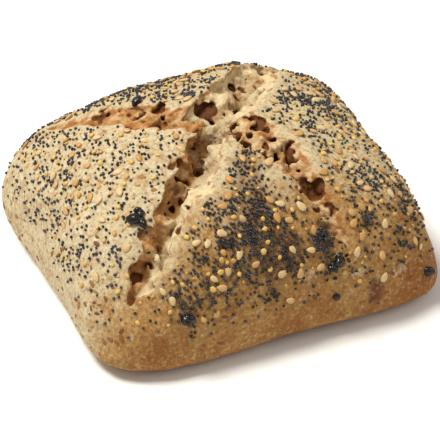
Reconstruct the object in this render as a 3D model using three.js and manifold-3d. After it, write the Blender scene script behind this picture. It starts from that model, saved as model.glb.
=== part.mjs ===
// A square bread roll of seeded wholegrain dough, in millimetres, +Z up, standing on its flat base.
// Its front is -Y. A cross was cut in the dough before baking: the four arms of the cross have burst open
// and part the top into four petals. Sesame, poppy and a few dark kernels are baked onto the crust.

import * as THREE from "three";
import { ImprovedNoise } from "three/addons/math/ImprovedNoise.js";
import { mergeVertices } from "three/addons/utils/BufferGeometryUtils.js";
import Module from "manifold-3d";

// Driving dimensions of the loaf.
const HALF_WIDTH = 48; // from the middle to the right side, at the belly
const HALF_DEPTH = 44.4; // from the middle to the front
const HEIGHT = 43; // of the dome over the base
const BELLY = 6; // height of the widest line
const TUCK = 3.4; // how far the base is drawn in under the belly
const HOLLOW = { angle: -1.3, spread: 0.52, depth: 2.9 }; // the base goes in further at the front
const BELLY_SQUARENESS = 7; // superellipse power of the outline at the belly
const TOP_SQUARENESS = 2.35; // and near the top
const SOLE_SQUARENESS = 2; // and what is added to it from the belly down to the base
const DOME_ROUND = 2.3; // power of the dome's profile, outwards
const DOME_FULL = 2.36; // and upwards
const SIDE_PINCH = 0.012; // how far the four sides are drawn in between the corners
const LOPSIDED = 0.014; // and how far the hand-shaped outline bulges three ways
const SKEWED = 0.01; // and leans towards two corners

// Unevenness of the crust.
const LUMP_SIZE = 15;
const LUMP_RISE = 0.8;
const WRINKLE_SIZE = 5;
const WRINKLE_RISE = 0.3;

// Fineness of the mesh.
const FACETS_WIDE = 20; // across the loaf
const FACETS_DEEP = 18; // from front to back
const FACETS_HIGH = 6; // up the sides, below the shoulder
const SHOULDER_TURN = 0.28 * Math.PI; // where the sides go over into the top, from 0 at the belly
const CUT_STEPS = 13; // stations along one arm of the cross
const UNDERSIDE = 5; // index of the box's lower face
const WELD = 1e-3; // points closer than this are one point

// The cross. Each arm's deepest line starts at the middle and bends once on its way to its end, in plan.
// Widths are given at the arm's start, halfway and at its end, depths at its start and its end. Left and
// right are as seen when walking outwards.
// Steepness runs from 0, a straight slope from the lip to the deepest line, to 1, a wall, and below 0 the
// slope bends down on its way. Lips is how far the crust rises towards the left and the right lip.
const MIDDLE = new THREE.Vector2(-2, -2.5);
const ARMS = [
  {
    // towards the front left corner: deep, from the pale slope of the front petal to a ragged wall
    bend: [-18.4, -21.2],
    end: [-36.6, -34.6],
    left: [7.5, 7.2, 5.5],
    right: [3, 4.3, 4],
    depth: [8.5, 5],
    steep: [-0.2, 0.8],
    lips: [0.6, 0.4],
  },
  {
    // towards the right corner at the back: a crumbly wall on its left, a pale slope on its right
    bend: [11, 7.5],
    end: [34, 27],
    left: [7, 5, 3],
    right: [8.5, 7.6, 3],
    depth: [7.5, 2.4],
    steep: [0.5, -0.2],
    lips: [1, 0.2],
  },
  {
    // towards the left corner at the back: a shallow rough groove
    bend: [-19.3, 11.4],
    end: [-36, 33],
    left: [6, 5.2, 4.5],
    right: [6, 5.2, 4.5],
    depth: [2.6, 1.4],
    steep: [0.1, 0.1],
    lips: [0.1, 0.3],
  },
  {
    // towards the right of the front: one long crumbly slope under the lip of the front petal
    bend: [6.5, -21],
    end: [18.5, -40.5],
    left: [11, 11.4, 3],
    right: [1.6, 1.2, 1.5],
    depth: [8, 3.8],
    steep: [0, 1],
    lips: [0.3, 1.9],
  },
];
const LIP_SPREAD = 5; // how far a raised lip runs back over its petal
const RAGGED = 0.55; // unevenness of the torn walls
const CLEAR_ABOVE = 6; // how far a gap's cutting body stands out of the crust

// Burst bubbles in the torn dough: arm, place along it from 0 to 1, place across it, radius.
const BUBBLES = [
  [0, 0.32, -1.8, 2.9],
  [0, 0.5, -0.5, 2.6],
  [0, 0.72, 0, 2.6],
  [1, 0.1, 3.5, 2.8],
  [1, 0.35, 4, 2.2],
  [2, 0.3, 0.4, 1.9],
  [3, 0.3, 6.5, 2.1],
  [3, 0.42, 3.6, 1.8],
  [3, 0.58, 0.6, 2.7],
];
const BUBBLE_SINK = 0.45; // share of the local depth at which a bubble sits

// Crags of torn dough that stand up from the floor of the gaps: how many in each arm, and their radii.
const CRAGS = [5, 7, 2, 6];
const CRAG_RADIUS = [1.2, 2.3];
const CRAG_REACH = [0.08, 0.85]; // the stretch of an arm that has crags
const CRAG_SINK = 0.68; // share of the local depth at which a crag sits

// Seeds, at rest on the crust and sunk into it a little.
const SESAME = { length: 3.3, width: 2.1, thickness: 1.1, sunk: 0.3 };
const POPPY = { length: 1.15, width: 0.95, thickness: 0.95, sunk: 0.28 };
const KERNEL = { length: 3.4, width: 2.4, thickness: 1.9, sunk: 0.35 };
const SESAME_COUNT = 86;
const POPPY_COUNT = 78;
const SEED_GAP = 0.5; // clear distance between neighbours
const LOWEST_SEED = 15; // no seed lies below this height
const STEEPEST_SEED = 0.35; // or where the crust's upward share is less than this
// How thickly each petal is strewn, thinning out from its middle. The front petal carries most.
const PETALS = [
  { middle: [2, -27], spread: [17, 13], share: 1 }, // front
  { middle: [26, 2], spread: [14, 22], share: 0.7 }, // right
  { middle: [-27, 2], spread: [12, 22], share: 0.6 }, // left
  { middle: [0, 26], spread: [24, 12], share: 0.7 }, // back
];
// Dark kernels, in plan.
const KERNEL_SPOTS = [
  [-30.5, -22],
  [-12, -35],
  [14.8, -41],
  [-24, -41.5],
  [-14, 22],
  [22, 8],
];

THREE.MathUtils.seededRandom(20);
const random = () => THREE.MathUtils.seededRandom();
const noise = new ImprovedNoise();
const mix = THREE.MathUtils.lerp;

// Share of the full outline that a level of the loaf reaches in a direction.
function reachAt(angle, z) {
  if (z < BELLY) {
    const tuck = TUCK + HOLLOW.depth * Math.exp(-(((angle - HOLLOW.angle) / HOLLOW.spread) ** 2));
    return 1 - (tuck / HALF_WIDTH) * (1 - z / BELLY) ** 2;
  }
  const share = (z - BELLY) / (HEIGHT - BELLY);
  return Math.max(0, 1 - share ** DOME_FULL) ** (1 / DOME_ROUND);
}

// The outline's squareness eases off from the belly to the top.
function squarenessAt(z) {
  const share = THREE.MathUtils.clamp((z - BELLY) / (HEIGHT - BELLY), 0, 1);
  const under = Math.max(0, 1 - z / BELLY);
  return mix(TOP_SQUARENESS, BELLY_SQUARENESS, (1 - share) ** 2) + SOLE_SQUARENESS * under;
}

// Hand-shaped irregularity of the outline in a direction.
function handShape(angle) {
  const uneven = LOPSIDED * Math.sin(3 * angle) - SKEWED * Math.sin(2 * angle);
  return 1 - SIDE_PINCH * Math.cos(4 * angle) + uneven;
}

// A point of the smooth crust, by direction and level.
function crustPoint(angle, z) {
  const c = Math.cos(angle);
  const s = Math.sin(angle);
  const power = squarenessAt(z);
  const radius = (Math.abs(c) ** power + Math.abs(s) ** power) ** (-1 / power);
  const reach = reachAt(angle, z) * radius * handShape(angle);
  return new THREE.Vector3(HALF_WIDTH * reach * c, HALF_DEPTH * reach * s, z);
}

// Height of the smooth crust over a point in plan, by halving.
function crustHeight(x, y) {
  const angle = Math.atan2(y / HALF_DEPTH, x / HALF_WIDTH);
  const distance = Math.hypot(x, y);
  let low = BELLY;
  let high = HEIGHT;
  for (let i = 0; i < 24; i += 1) {
    const level = (low + high) / 2;
    const edge = crustPoint(angle, level);
    if (Math.hypot(edge.x, edge.y) > distance) low = level;
    else high = level;
  }
  return low;
}

// The outward direction of the smooth crust over a point in plan.
function crustNormal(x, y) {
  const step = 0.5;
  const slopeX = (crustHeight(x + step, y) - crustHeight(x - step, y)) / (2 * step);
  const slopeY = (crustHeight(x, y + step) - crustHeight(x, y - step)) / (2 * step);
  return new THREE.Vector3(-slopeX, -slopeY, 1).normalize();
}

// An arm of the cross as a plan curve with its stations.
function armRoute(arm) {
  const bend = new THREE.Vector2(...arm.bend);
  const end = new THREE.Vector2(...arm.end);
  // the control point that makes a quadratic curve pass the bend halfway
  const control = bend.clone().multiplyScalar(2).addScaledVector(MIDDLE, -0.5).addScaledVector(end, -0.5);
  const curve = new THREE.QuadraticBezierCurve(MIDDLE, control, end);
  return { arm, curve, stations: curve.getSpacedPoints(24) };
}
const ROUTES = ARMS.map(armRoute);

// A value between those given for an arm's start, its middle and its end.
function halfway(values, share) {
  return share < 0.5 ? mix(values[0], values[1], 2 * share) : mix(values[1], values[2], 2 * share - 1);
}

// Where a point in plan lies by an arm: its share of the way along, its distance across and on which side.
function besideArm(route, x, y) {
  let best = { distance: Infinity };
  const { stations } = route;
  for (let i = 0; i < stations.length - 1; i += 1) {
    const a = stations[i];
    const b = stations[i + 1];
    const dx = b.x - a.x;
    const dy = b.y - a.y;
    const share = THREE.MathUtils.clamp(((x - a.x) * dx + (y - a.y) * dy) / (dx * dx + dy * dy), 0, 1);
    const ex = x - a.x - share * dx;
    const ey = y - a.y - share * dy;
    const distance = Math.hypot(ex, ey);
    if (distance < best.distance) {
      const side = dx * ey - dy * ex >= 0 ? 1 : -1;
      best = { distance, side, along: (i + share) / (stations.length - 1) };
    }
  }
  return best;
}

// The petals rise a little towards their torn lips.
function lipRise(x, y) {
  let rise = 0;
  for (const route of ROUTES) {
    const at = besideArm(route, x, y);
    const width = halfway(at.side > 0 ? route.arm.left : route.arm.right, at.along);
    const lip = route.arm.lips[at.side > 0 ? 0 : 1];
    const fade = 1 - at.along ** 3;
    rise = Math.max(rise, lip * fade * Math.exp(-(((at.distance - width) / LIP_SPREAD) ** 2)));
  }
  return rise;
}

// True where the dough is torn open.
function isTorn(x, y, margin) {
  return ROUTES.some((route) => {
    const at = besideArm(route, x, y);
    const width = halfway(at.side > 0 ? route.arm.left : route.arm.right, at.along);
    return at.distance < width + margin;
  });
}

function solidOf(wasm, geometry) {
  const bare = new THREE.BufferGeometry();
  bare.setAttribute("position", geometry.getAttribute("position"));
  bare.setIndex(geometry.index);
  const merged = mergeVertices(bare, WELD);
  return new wasm.Manifold(
    new wasm.Mesh({
      numProp: 3,
      vertProperties: new Float32Array(merged.attributes.position.array),
      triVerts: new Uint32Array(merged.index.array),
    }),
  );
}

function geometryOf(solid) {
  const mesh = solid.getMesh();
  const points = new Float32Array(mesh.numVert * 3);
  for (let i = 0; i < mesh.numVert; i += 1) {
    points.set(mesh.vertProperties.subarray(i * mesh.numProp, i * mesh.numProp + 3), i * 3);
  }
  const geometry = new THREE.BufferGeometry();
  geometry.setAttribute("position", new THREE.BufferAttribute(points, 3));
  geometry.setIndex(new THREE.BufferAttribute(mesh.triVerts, 1));
  geometry.computeVertexNormals();
  return geometry;
}

// The largest body of a solid: booleans on rough surfaces can leave loose crumbs.
function largestBody(solid) {
  return solid.decompose().sort((a, b) => b.volume() - a.volume())[0];
}

// A closed body from rings of equal length, capped by a point at each end. Seen along the way from the
// first ring to the last, the points of a ring run anticlockwise.
function ringsToGeometry(rings, firstTip, lastTip) {
  const count = rings[0].length;
  const points = [firstTip, ...rings.flat(), lastTip];
  const faces = [];
  const at = (ring, i) => 1 + ring * count + (i % count);
  for (let i = 0; i < count; i += 1) {
    faces.push(0, at(0, i), at(0, i + 1));
    for (let ring = 0; ring < rings.length - 1; ring += 1) {
      faces.push(at(ring, i), at(ring + 1, i), at(ring, i + 1));
      faces.push(at(ring, i + 1), at(ring + 1, i), at(ring + 1, i + 1));
    }
    faces.push(at(rings.length - 1, i), points.length - 1, at(rings.length - 1, i + 1));
  }
  return new THREE.BufferGeometry().setFromPoints(points).setIndex(faces);
}

// The height of the dome at a turn from 0 at the belly to a quarter circle at the top.
function domeLevel(turn) {
  return BELLY + (HEIGHT - BELLY) * Math.sin(turn) ** (2 / DOME_FULL);
}

// The whole loaf before it burst: a box drawn over the crust, with its lower face as one flat fan.
function loafGeometry() {
  const box = new THREE.BoxGeometry(2, 2, 2, FACETS_WIDE, FACETS_DEEP, FACETS_HIGH);
  const faces = [...box.index.array].slice(0, box.groups[UNDERSIDE].start);
  const points = [];
  const rim = [];
  const places = box.getAttribute("position");
  for (let i = 0; i < places.count; i += 1) {
    const [across, back, up] = [places.getX(i), places.getY(i), places.getZ(i)];
    const angle = Math.atan2(back, across);
    const ring = Math.max(Math.abs(across), Math.abs(back));
    const turn = up > 0.999 ? Math.PI / 2 - ring * (Math.PI / 2 - SHOULDER_TURN) : SHOULDER_TURN;
    const level = domeLevel(turn) * (up > 0.999 ? 1 : (up + 1) / 2);
    const point = unevenCrust(crustPoint(angle, level));
    points.push(point);
    if (level === 0 && faces.includes(i)) rim.push({ i, angle });
  }
  rim.sort((a, b) => a.angle - b.angle);
  const middle = points.push(new THREE.Vector3(0, 0, 0)) - 1;
  rim.forEach(({ i }, n) => faces.push(middle, rim[(n + 1) % rim.length].i, i));
  return new THREE.BufferGeometry().setFromPoints(points).setIndex(faces);
}

// Lumps, wrinkles and lips moved into a crust point. They fade out at the base, which stays flat.
function unevenCrust(point) {
  const fade = THREE.MathUtils.smoothstep(point.z, 0, BELLY * 1.5);
  const lump = noise.noise(point.x / LUMP_SIZE, point.y / LUMP_SIZE, point.z / LUMP_SIZE + 3.7);
  const wrinkle = noise.noise(point.x / WRINKLE_SIZE, point.y / WRINKLE_SIZE, point.z / WRINKLE_SIZE);
  const outward = new THREE.Vector3(point.x / HALF_WIDTH, point.y / HALF_DEPTH, point.z / HEIGHT);
  outward.normalize();
  const rise = lipRise(point.x, point.y) * THREE.MathUtils.smoothstep(point.z, BELLY, HEIGHT * 0.7);
  point.addScaledVector(outward, fade * (LUMP_RISE * lump + WRINKLE_RISE * wrinkle));
  point.z += rise;
  return point;
}

// Position, outward normal and sideways direction at a share of the way along an arm.
function armFrame(route, share) {
  const plan = route.curve.getPointAt(share);
  const ahead = route.curve.getTangentAt(share);
  const normal = crustNormal(plan.x, plan.y);
  const along = new THREE.Vector3(ahead.x, ahead.y, 0);
  along.addScaledVector(normal, -along.dot(normal)).normalize();
  const left = new THREE.Vector3().crossVectors(normal, along);
  const height = crustHeight(plan.x, plan.y) + lipRise(plan.x, plan.y);
  return { point: new THREE.Vector3(plan.x, plan.y, height), normal, left };
}

// The gap that one arm opens: a wedge with ragged walls, lofted along the arm and open above the crust.
function gapGeometry(route) {
  const { arm } = route;
  const rings = [];
  for (let i = 0; i <= CUT_STEPS; i += 1) {
    const share = i / CUT_STEPS;
    const frame = armFrame(route, share);
    const closing = Math.sqrt(1 - 0.96 * share ** 4);
    const left = halfway(arm.left, share) * closing;
    const right = halfway(arm.right, share) * closing;
    const depth = mix(...arm.depth, share) * closing;
    // across, and down from the crust, from above the left lip to above the right
    const halves = [
      [left, arm.steep[0]],
      [-right, arm.steep[1]],
    ].map(([width, steep]) => [
      [width * 1.25, -CLEAR_ABOVE],
      [width * mix(0.5, 0.9, steep), depth * 0.5],
      [width * mix(0.1, 0.5, steep), depth * 0.95],
    ]);
    const section = [...halves[0], ...halves[1].reverse()];
    rings.push(
      section.map(([across, down]) => {
        const jolt = down > 0 ? RAGGED : RAGGED * 0.6;
        const point = frame.point.clone();
        point.addScaledVector(frame.left, across + jolt * (random() - 0.5) * 2);
        return point.addScaledVector(frame.normal, -down + jolt * (random() - 0.5));
      }),
    );
  }
  const first = armFrame(route, 0).point;
  const last = armFrame(route, 1).point;
  return ringsToGeometry(rings, first, last);
}

// A burst bubble in the torn dough.
function bubbleGeometry([index, share, across, radius]) {
  const route = ROUTES[index];
  const frame = armFrame(route, share);
  const depth = mix(...route.arm.depth, share);
  const bubble = new THREE.IcosahedronGeometry(radius, 1);
  const centre = frame.point.clone().addScaledVector(frame.left, across);
  centre.addScaledVector(frame.normal, -depth * BUBBLE_SINK - radius * 0.4);
  return bubble.translate(centre.x, centre.y, centre.z);
}

// A lump of torn dough on the floor of an arm's gap.
function cragGeometry(route) {
  const share = mix(...CRAG_REACH, random());
  const side = random() < 0.5 ? 1 : -1;
  const frame = armFrame(route, share);
  const width = halfway(side > 0 ? route.arm.left : route.arm.right, share);
  const depth = mix(...route.arm.depth, share);
  const radius = mix(...CRAG_RADIUS, random() ** 2);
  const crag = new THREE.IcosahedronGeometry(radius, 0).rotateX(random() * 3).rotateZ(random() * 3);
  const centre = frame.point.clone().addScaledVector(frame.left, side * width * 0.5);
  centre.addScaledVector(frame.normal, -depth * CRAG_SINK);
  return crag.translate(centre.x, centre.y, centre.z);
}

// A flat drop with its tip at +X: a pointed underside in the crust, a rim and, on large seeds, a bevel.
function seedGeometry(size, sides, bevelled, taper) {
  const profile = [new THREE.Vector2(0, -0.5), new THREE.Vector2(0.5, bevelled ? -0.08 : 0)];
  if (bevelled) profile.push(new THREE.Vector2(0.36, 0.34));
  profile.push(new THREE.Vector2(0, 0.5));
  const seed = new THREE.LatheGeometry(profile, sides).rotateX(Math.PI / 2);
  const places = seed.getAttribute("position");
  for (let i = 0; i < places.count; i += 1) {
    places.setY(i, places.getY(i) * (1 - 2 * taper * places.getX(i)));
  }
  return seed.scale(size.length, size.width, size.thickness);
}

// A seed laid on the crust where the ray from above meets it.
function laySeed(shape, size, hit, spin, tilt) {
  const upright = new THREE.Quaternion().setFromUnitVectors(new THREE.Vector3(0, 0, 1), hit.face.normal);
  const turn = new THREE.Quaternion().setFromEuler(new THREE.Euler(tilt, 0, spin, "ZYX"));
  const laid = shape.clone().applyQuaternion(upright.multiply(turn));
  const centre = hit.point.clone().addScaledVector(hit.face.normal, size.thickness * (0.5 - size.sunk));
  return laid.translate(centre.x, centre.y, centre.z);
}

// The chance that a seed thrown at a place stays there.
function strewing(x, y) {
  const shares = PETALS.map(({ middle, spread, share }) => {
    return share * Math.exp(-(((x - middle[0]) / spread[0]) ** 2) - ((y - middle[1]) / spread[1]) ** 2);
  });
  return Math.min(1, shares.reduce((sum, share) => sum + share));
}

// All the seeds' places, the largest kind first, none on torn dough and none touching.
function sowSeeds(loafMesh) {
  const caster = new THREE.Raycaster();
  const down = new THREE.Vector3(0, 0, -1);
  const taken = [];
  const shapes = {
    kernel: seedGeometry(KERNEL, 7, true, 0.1),
    sesame: seedGeometry(SESAME, 6, true, 0.3),
    poppy: seedGeometry(POPPY, 5, false, 0),
  };
  const seeds = [];
  const layAt = (x, y, kind, size) => {
    if (isTorn(x, y, size.length * 0.6)) return false;
    const room = (other) => (size.length + other.length) / 2 + SEED_GAP;
    const apart = (other) => Math.hypot(x - other.x, y - other.y) > room(other);
    if (!taken.every(apart)) return false;
    caster.set(new THREE.Vector3(x, y, HEIGHT * 2), down);
    const hit = caster.intersectObject(loafMesh)[0];
    if (!hit || hit.point.z < LOWEST_SEED || hit.face.normal.z < STEEPEST_SEED) return false;
    taken.push({ x, y, length: size.length });
    seeds.push(laySeed(shapes[kind], size, hit, random() * 2 * Math.PI, (random() - 0.5) * 0.3));
    return true;
  };
  for (const [x, y] of KERNEL_SPOTS) layAt(x, y, "kernel", KERNEL);
  const sow = (kind, size, count) => {
    let laid = 0;
    for (let tries = 0; laid < count && tries < count * 60; tries += 1) {
      const x = (random() * 2 - 1) * HALF_WIDTH;
      const y = (random() * 2 - 1) * HALF_DEPTH;
      if (random() < strewing(x, y) && layAt(x, y, kind, size)) laid += 1;
    }
  };
  sow("sesame", SESAME, SESAME_COUNT);
  sow("poppy", POPPY, POPPY_COUNT);
  return seeds;
}

const wasm = await Module();
wasm.setup();

const loaf = solidOf(wasm, loafGeometry());
const gaps = ROUTES.map((route) => solidOf(wasm, gapGeometry(route)));
const bubbles = BUBBLES.map((bubble) => solidOf(wasm, bubbleGeometry(bubble)));
const cragsOf = (route, i) => Array.from({ length: CRAGS[i] }, () => cragGeometry(route));
const crags = ROUTES.flatMap(cragsOf);
const opened = gaps.reduce((solid, gap) => solid.subtract(gap), loaf);
const craggy = crags.reduce((solid, crag) => solid.add(solidOf(wasm, crag)), opened);
const torn = largestBody(bubbles.reduce((solid, bubble) => solid.subtract(bubble), craggy));

const seeds = sowSeeds(new THREE.Mesh(geometryOf(torn)));
const seeded = seeds.reduce((solid, seed) => solid.add(solidOf(wasm, seed)), torn);

// Moved so that the middle of its outline in plan stands over the origin.
const centred = geometryOf(seeded);
centred.computeBoundingBox();
const middle = centred.boundingBox.getCenter(new THREE.Vector3());
const whole = largestBody(solidOf(wasm, centred.translate(-middle.x, -middle.y, 0)));
const rollGeometry = geometryOf(whole);

const crust = new THREE.MeshStandardMaterial({
  name: "crust",
  color: 0xc9ab7c,
  roughness: 0.8,
  metalness: 0,
});
const roll = new THREE.Mesh(rollGeometry, crust);
roll.name = "bread_roll";

const group = new THREE.Group();
group.add(roll);

export default group;
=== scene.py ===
import functools
import math
from typing import NamedTuple

import bpy
import numpy as np
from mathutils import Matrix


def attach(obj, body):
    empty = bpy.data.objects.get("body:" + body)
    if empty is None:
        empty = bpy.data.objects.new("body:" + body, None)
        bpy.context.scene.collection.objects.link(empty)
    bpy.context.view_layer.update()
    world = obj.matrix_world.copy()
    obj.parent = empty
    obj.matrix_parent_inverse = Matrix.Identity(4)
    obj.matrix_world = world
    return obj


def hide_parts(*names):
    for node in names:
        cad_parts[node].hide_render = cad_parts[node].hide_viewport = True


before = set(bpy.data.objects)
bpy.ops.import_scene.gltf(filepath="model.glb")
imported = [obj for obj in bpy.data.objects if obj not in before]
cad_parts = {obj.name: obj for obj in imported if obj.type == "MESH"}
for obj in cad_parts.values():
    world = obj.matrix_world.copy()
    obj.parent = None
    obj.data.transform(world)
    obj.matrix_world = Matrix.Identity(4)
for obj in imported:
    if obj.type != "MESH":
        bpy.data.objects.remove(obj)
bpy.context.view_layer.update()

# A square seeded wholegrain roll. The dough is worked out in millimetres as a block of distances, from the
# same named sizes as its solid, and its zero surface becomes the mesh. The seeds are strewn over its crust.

import openvdb
from bpy.props import FloatProperty, FloatVectorProperty, IntProperty, PointerProperty
from mathutils import Matrix, Vector

bl_info = {
    "name": "Seeded bread roll",
    "version": (1, 0, 0),
    "blender": (4, 5, 0),
    "location": "3D View > Sidebar > Bread roll",
    "description": "Makes a square seeded bread roll with a burst cross, and its stage",
    "category": "Add Mesh",
}

MM = 0.001  # a millimetre, in metres

# The loaf, in millimetres.
HALF_WIDTH = 48.0  # from the middle to the right side, at the belly
HALF_DEPTH = 44.4  # from the middle to the front
HEIGHT = 43.0  # of the dome over the base
BELLY = 6.0  # height of the widest line
TUCK = 3.4  # how far the base is drawn in under the belly
HOLLOW_AT, HOLLOW_SPREAD = -1.3, 0.52  # where the front is hollowed under, round the outline, in radians
HOLLOW_DEPTH = 2.9  # and how much further than elsewhere
CORNER_AT, CORNER_SPREAD = -2.36, 0.24  # the front left corner, and how much of the outline it takes up
CORNER_CUT = 0.03  # how far it is cut back, as a share
CORNER_TUCK = 2.6  # and drawn in at its base
BELLY_SQUARENESS = 7.0  # superellipse power of the outline at the belly
TOP_SQUARENESS = 2.35  # and near the top
SOLE_SQUARENESS = 2.0  # and what is added to it from the belly down to the base
DOME_ROUND = 2.3  # power of the dome's profile, outwards
DOME_FULL = 2.36  # and upwards
SIDE_PINCH = 0.012  # how far the four sides are drawn in between the corners
LOPSIDED = 0.014  # how far the hand-shaped outline bulges three ways
SKEWED = 0.01  # and leans towards two corners
CENTRING = (0.36, 0.03)  # moves the middle of the outline over the origin
MIDDLE = (-2.0, -2.5)  # where the cross was cut
LOWEST_TEAR = 18.0  # height that no gap reaches down to
LINING = 4.6  # thickness of dough round the gaps that is meshed finely
OVERLAP = 1.3  # how far the finely and the coarsely meshed dough run into each other
CRUST_BLOCK = ((-52, -49, -2), (52, 49, 47))  # lowest and highest corner of the space round the crust
CRUMB_BLOCK = ((-48, -46, 10), (46, 44, 47))  # round the torn crumb
RELIEF_BLOCK = ((-60, -60, -10), (60, 60, 55))  # and round all relief
SKIN_STEP = 0.9  # spacing of the skin that the seeds are laid on
CLEAR_RIM = 0.9  # how far from the gaps the strewn seeds lie at least
NEIGHBOURS = 4  # seeds whose middles are further apart than this don't touch
TRIES = 12  # places tried for each seed that is wanted, as some are taken already

# Relief, in mm: the height and the size of its lumps, and a seed for their places.
LUMPS = ((0.8, 15, 1), (0.36, 5, 2), (0.18, 1.9, 3))  # of the crust
RAGGED = ((1.8, 5, 4), (1.8, 2.4, 5), (1.0, 1.3, 6))  # of the gaps' walls, sideways
SUNK = ((1.2, 4, 7), (1.4, 1.9, 8))  # and downwards
CRUMBLY = ((0.3, 0.9, 12), (0.35, 1.6, 13))  # of the torn crumb


class Arm(NamedTuple):
    """An arm of the cross in plan, in mm. Left and right are as seen when walking outwards.

    The widths hold at its start, halfway and at its end, and the depths at its start and its end. The pairs
    for left and right are steep, from 0, a slope, to 1, a wall; lips, how far the crust beside it rises;
    and browned, from 0 to 1, which is partly real toasting and partly painted shade on walls that face away
    from the key light.
    """

    bend: tuple
    end: tuple
    left: tuple
    right: tuple
    depth: tuple
    steep: tuple
    lips: tuple
    browned: tuple
    lip_spread: float = 5.0  # how far a raised lip runs back over its petal


ARMS = (
    # towards the front left corner: deep, from the pale slope of the front petal to a ragged wall
    Arm(
        bend=(-18.4, -21.2), end=(-36.6, -34.6), left=(7.5, 7.2, 5.5), right=(3.0, 4.3, 4.0),
        depth=(8.5, 5.0), steep=(-0.06, 0.45), lips=(0.6, 0.4), browned=(0.0, 0.85),
    ),
    # towards the right corner at the back: a crumbly wall on its left and a pale slope on its right
    Arm(
        bend=(10.3, 8.4), end=(31.5, 29.0), left=(7.0, 6.2, 8.0), right=(8.5, 7.6, 3.4),
        depth=(7.5, 4.8), steep=(0.5, -0.06), lips=(1.0, 0.2), browned=(0.4, 0.0),
    ),
    # towards the left corner at the back: a shallow rough groove
    Arm(
        bend=(-19.3, 11.4), end=(-36.0, 33.0), left=(6.0, 5.2, 4.5), right=(6.0, 5.2, 4.5),
        depth=(2.4, 1.3), steep=(0.0, 0.0), lips=(0.1, 0.3), browned=(1.0, 0.8),
    ),
    # towards the right of the front: one long crumbly slope under the lip of the front petal
    Arm(
        bend=(6.5, -21.0), end=(18.5, -40.5), left=(11.0, 11.4, 3.0), right=(1.6, 1.2, 1.5),
        depth=(8.0, 3.8), steep=(-0.04, 1.0), lips=(0.3, 1.9), browned=(0.7, 1.0), lip_spread=3.0,
    ),
)


def smoothstep(low, high, value):
    share = np.clip((value - low) / (high - low), 0.0, 1.0)
    return share * share * (3.0 - 2.0 * share)


def mix(a, b, share):
    return a + (b - a) * share


def halfway(values, along):
    """A value between those given for an arm's start, its middle and its end."""
    return np.interp(along, (0.0, 0.5, 1.0), values)


class Block:
    """A block of evenly spaced points, in mm, in which a solid's surface is worked out."""

    def __init__(self, low, high, step):
        self.low = np.array(low, dtype=np.float32)
        self.step = step
        self.axes = [np.arange(a, b + step, step, dtype=np.float32) for a, b in zip(low, high)]
        self.x, self.y, self.z = np.meshgrid(*self.axes, indexing="ij", sparse=True)

    def sample(self, field, points):
        """The field's values at points anywhere in the block."""
        places = (points - self.low) / self.step
        limit = np.array(field.shape) - 2
        cell = np.clip(np.floor(places).astype(int), 0, limit)
        share = np.clip(places - cell, 0.0, 1.0)
        total = np.zeros(len(points), dtype=np.float32)
        for corner in np.ndindex(2, 2, 2):
            weight = np.prod(np.where(corner, share, 1.0 - share), axis=1)
            total += weight * field[tuple((cell + corner).T)]
        return total


def relief(block, size, seed):
    """Smooth random relief, mostly within -1 to 1, with lumps of a size in mm, the same in every block."""
    lows = [math.floor(low / size) - 2 for low in RELIEF_BLOCK[0]]
    highs = [math.ceil(high / size) + 2 for high in RELIEF_BLOCK[1]]
    shape = [high - low + 1 for low, high in zip(lows, highs)]
    field = np.random.default_rng(seed).uniform(-2.5, 2.5, shape).astype(np.float32)
    for axis in range(3):
        away = np.abs(block.axes[axis][:, None] / size - np.arange(lows[axis], highs[axis] + 1))
        near = 2 / 3 - away**2 + away**3 / 2
        far = np.clip(2 - away, 0, None) ** 3 / 6
        weights = np.where(away < 1, near, far).astype(np.float32)
        field = np.moveaxis(np.tensordot(weights, field, (1, axis)), 0, axis)
    return np.ascontiguousarray(field)


def layered(block, layers):
    """Relief of several heights and sizes."""
    return sum(height * relief(block, size, seed) for height, size, seed in layers)


def smooth_crust(block):
    """Roughly the distance outside the loaf's smooth crust, in mm."""
    angle = np.arctan2(block.y / HALF_DEPTH, block.x / HALF_WIDTH)
    hand = 1 - SIDE_PINCH * np.cos(4 * angle) + LOPSIDED * np.sin(3 * angle) - SKEWED * np.sin(2 * angle)
    corner = np.exp(-(((angle - CORNER_AT) / CORNER_SPREAD) ** 2))
    hand = hand - CORNER_CUT * corner
    share = np.clip((block.z - BELLY) / (HEIGHT - BELLY), 0.0, None)
    under = np.clip(1 - block.z / BELLY, 0.0, 1.0)
    power = mix(TOP_SQUARENESS, BELLY_SQUARENESS, np.clip(1 - share, 0, 1) ** 2)
    power = power + SOLE_SQUARENESS * under
    across = np.abs(block.x / (HALF_WIDTH * hand)) ** power
    across = across + np.abs(block.y / (HALF_DEPTH * hand)) ** power
    reach = across ** (1 / power)
    hollow = np.exp(-(((angle - HOLLOW_AT) / HOLLOW_SPREAD) ** 2))
    tuck = TUCK + HOLLOW_DEPTH * hollow + CORNER_TUCK * corner
    reach = reach / (1 - tuck / HALF_WIDTH * under**2)
    level = (reach**DOME_ROUND + share**DOME_FULL) ** (1 / DOME_ROUND) - 1
    slope = np.sqrt(sum(part**2 for part in np.gradient(level, block.step)))
    return (level / np.maximum(slope, 1e-3)).astype(np.float32)


def route(arm):
    """The arm's deepest line as points in plan: a curve that passes its bend halfway."""
    start, bend, end = (np.array(point) for point in (MIDDLE, arm.bend, arm.end))
    control = 2 * bend - (start + end) / 2
    t = np.linspace(0, 1, 41)[:, None]
    return start * (1 - t) ** 2 + control * 2 * t * (1 - t) + end * t**2


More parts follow.
